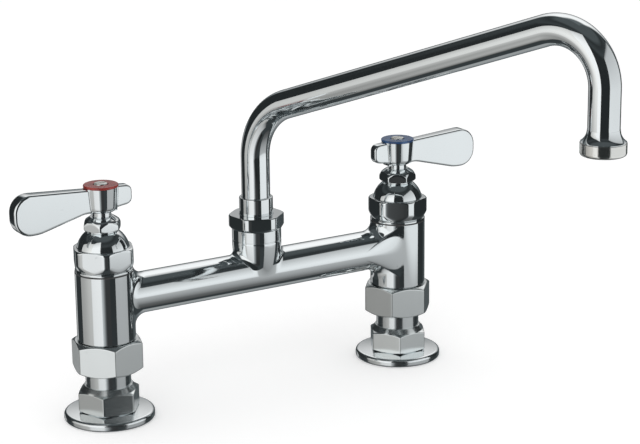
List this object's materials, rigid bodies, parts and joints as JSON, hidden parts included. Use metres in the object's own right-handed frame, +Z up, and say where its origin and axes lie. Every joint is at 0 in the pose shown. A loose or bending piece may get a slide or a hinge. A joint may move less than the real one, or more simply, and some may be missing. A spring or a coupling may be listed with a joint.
{
  "type": "bridge faucet",
  "caption": "Deck-mounted bridge mixing faucet: lever valves on flanged inlets, joined by a bar that carries a swivelling bent spout with an aerator.",
  "frame": {"origin": "on the deck plane under the flanges, midway between the axes of the hot and cold inlets", "axes": "+X along the bridge from the hot valve to the cold valve, -Y towards the user in front, +Z up"},
  "size_m": [0.314, 0.2673, 0.2524],
  "materials": {
    "polished_chrome": "polished chrome plate on cast, turned and drawn brass",
    "satin_chrome": "satin chrome plate on machined brass",
    "brass": "bare machined brass",
    "rubber": "black moulded rubber",
    "fibre": "vulcanised fibre washer",
    "packing": "white low-friction plastic",
    "red_index": "red glossy enamel ring, bare of text",
    "blue_index": "blue glossy enamel ring, bare of text",
    "steel_screw": "plated slotted screw",
    "dark_plastic": "moulded grey plastic flow former"
  },
  "bodies": {
    "bridge": {"bridge_body": "polished_chrome", "spout_nut": "polished_chrome", "spout_bearing_washer": "packing", "hot_flanged_inlet": "satin_chrome", "hot_tailpiece": "polished_chrome", "hot_coupling_nut": "satin_chrome", "hot_coupling_washer": "rubber", "hot_valve_seat": "brass", "hot_bonnet_washer": "fibre", "hot_bonnet": "polished_chrome", "hot_packing": "packing", "hot_packing_gland": "brass", "hot_packing_nut": "polished_chrome", "cold_flanged_inlet": "satin_chrome", "cold_tailpiece": "polished_chrome", "cold_coupling_nut": "satin_chrome", "cold_coupling_washer": "rubber", "cold_valve_seat": "brass", "cold_bonnet_washer": "fibre", "cold_bonnet": "polished_chrome", "cold_packing": "packing", "cold_packing_gland": "brass", "cold_packing_nut": "polished_chrome"},
    "hot_washer": {"hot_seat_washer": "rubber", "hot_washer_cup": "brass", "hot_washer_screw": "brass"},
    "hot_valve": {"hot_stem": "brass", "hot_lever_handle": "polished_chrome", "hot_index_ring": "red_index", "hot_handle_screw": "steel_screw"},
    "cold_washer": {"cold_seat_washer": "rubber", "cold_washer_cup": "brass", "cold_washer_screw": "brass"},
    "cold_valve": {"cold_stem": "brass", "cold_lever_handle": "polished_chrome", "cold_index_ring": "blue_index", "cold_handle_screw": "steel_screw"},
    "spout": {"spout_collar": "polished_chrome", "spout_o_rings": "rubber", "spout_tube": "polished_chrome", "outlet_fitting": "polished_chrome", "aerator_housing": "satin_chrome", "aerator_insert": "dark_plastic", "aerator_washer": "rubber"}
  },
  "joints": [
    {"name": "hot_rise", "type": "slide", "parent": "bridge", "child": "hot_washer", "axis": [0, 0, 1], "range_m": [0, 0.0024]},
    {"name": "hot_turn", "type": "hinge", "parent": "hot_washer", "child": "hot_valve", "pos_m": [-0.1016, 0, 0.1255], "axis": [0, 0, 1], "range_deg": [0, 90]},
    {"name": "cold_rise", "type": "slide", "parent": "bridge", "child": "cold_washer", "axis": [0, 0, 1], "range_m": [0, 0.0024]},
    {"name": "cold_turn", "type": "hinge", "parent": "cold_washer", "child": "cold_valve", "pos_m": [0.1016, 0, 0.1255], "axis": [0, 0, -1], "range_deg": [0, 90]},
    {"name": "spout_swivel", "type": "hinge", "parent": "bridge", "child": "spout", "pos_m": [0, 0, 0.1047], "axis": [0, 0, 1], "continuous": true}
  ],
  "couplings": [
    {"joint": "hot_rise", "follows": "hot_turn", "m_per_rad": 0.001527},
    {"joint": "cold_rise", "follows": "cold_turn", "m_per_rad": 0.001527}
  ]
}
